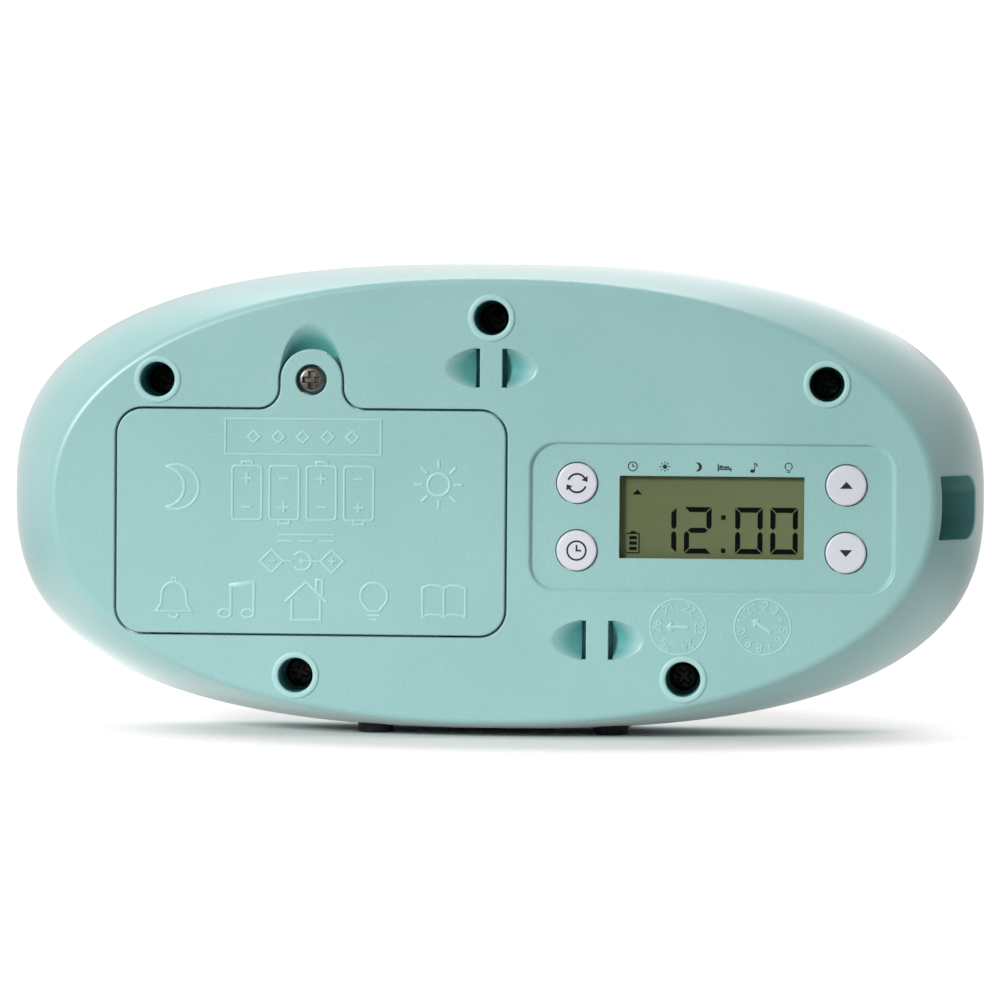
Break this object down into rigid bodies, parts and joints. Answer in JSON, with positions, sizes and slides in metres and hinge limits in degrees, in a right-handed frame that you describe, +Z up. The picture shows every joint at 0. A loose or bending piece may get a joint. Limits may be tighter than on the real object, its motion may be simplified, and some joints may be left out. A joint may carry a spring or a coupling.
{
  "type": "kids alarm clock with night light",
  "caption": "Oval desk alarm clock for a child's room: domed night light in front, display, buttons and battery door on the back.",
  "frame": {"origin": "on the table, under the middle of the clock's box", "axes": "+Z up, +X along the clock's width, +Y towards the back panel with the controls; the night light faces -Y"},
  "size_m": [0.2494, 0.0644, 0.1195],
  "materials": {
    "housing": "satin mint",
    "button": "satin white",
    "steel": "bright nickel plate",
    "black_steel": "black oxide",
    "cell_jacket": "plain printed jacket",
    "black_plastic": "satin black",
    "white_plastic": "glossy white",
    "cream_plastic": "matte cream",
    "board": "green solder mask",
    "white_board": "white solder mask",
    "window": "clear polished",
    "display": "reflective liquid crystal",
    "pink_rubber": "matte",
    "capacitor_sleeve": "shrink sleeve",
    "speaker_metal": "grey paint",
    "speaker_paper": "pressed paper",
    "black_rubber": "foam",
    "foot_rubber": "matte black",
    "lens": "opal white, translucent",
    "mask_film": "printed film",
    "led": "clear epoxy",
    "red_lead": "vinyl",
    "black_lead": "vinyl",
    "white_lead": "vinyl"
  },
  "bodies": {
    "housing": {"rear_housing": "housing", "front_housing": "housing", "case_screws": "black_steel", "battery_cells": "cell_jacket", "battery_springs": "steel", "battery_contacts": "steel", "tact_switches": "black_plastic", "main_board": "board", "board_screws": "steel", "display_window": "window", "lcd_glass": "display", "lcd_holder": "cream_plastic", "zebra_strips": "pink_rubber", "controller_chip": "black_plastic", "sound_chip": "black_plastic", "crystal": "steel", "capacitors": "capacitor_sleeve", "lead_connectors": "cream_plastic", "dc_jack": "black_plastic", "jack_pin": "steel", "speaker_frame": "speaker_metal", "speaker_magnet": "steel", "speaker_cone": "speaker_paper", "speaker_gasket": "black_rubber", "speaker_bracket": "steel", "speaker_screws": "steel", "night_light_lens": "lens", "light_mask": "mask_film", "reflector_tray": "white_plastic", "tray_screws": "steel", "led_board": "white_board", "led_board_screws": "steel", "light_leds": "led", "feet": "foot_rubber", "battery_leads": "red_lead", "speaker_leads": "black_lead", "light_leads": "white_lead", "jack_leads": "black_lead"},
    "door": {"battery_door": "housing"},
    "screw": {"door_screw": "steel"},
    "mode_key": {"mode_button": "button", "mode_plunger": "black_plastic"},
    "set_key": {"set_button": "button", "set_plunger": "black_plastic"},
    "up_key": {"up_button": "button", "up_plunger": "black_plastic"},
    "down_key": {"down_button": "button", "down_plunger": "black_plastic"}
  },
  "joints": [
    {"name": "door_tilt", "type": "hinge", "parent": "housing", "child": "door", "pos_m": [0.0452, 0.03175, 0.02575], "axis": [-1, 0, 0], "range_deg": [0, 70]},
    {"name": "door_screw_turn", "type": "hinge", "parent": "door", "child": "screw", "pos_m": [0.0452, 0.02915, 0.0896], "axis": [0, 1, 0], "continuous": true},
    {"name": "mode_press", "type": "slide", "parent": "housing", "child": "mode_key", "axis": [0, -1, 0], "range_m": [0, 0.0008], "stiffness_N_per_m": 900, "springref_m": -0.0003},
    {"name": "set_press", "type": "slide", "parent": "housing", "child": "set_key", "axis": [0, -1, 0], "range_m": [0, 0.0008], "stiffness_N_per_m": 900, "springref_m": -0.0003},
    {"name": "up_press", "type": "slide", "parent": "housing", "child": "up_key", "axis": [0, -1, 0], "range_m": [0, 0.0008], "stiffness_N_per_m": 900, "springref_m": -0.0003},
    {"name": "down_press", "type": "slide", "parent": "housing", "child": "down_key", "axis": [0, -1, 0], "range_m": [0, 0.0008], "stiffness_N_per_m": 900, "springref_m": -0.0003}
  ]
}
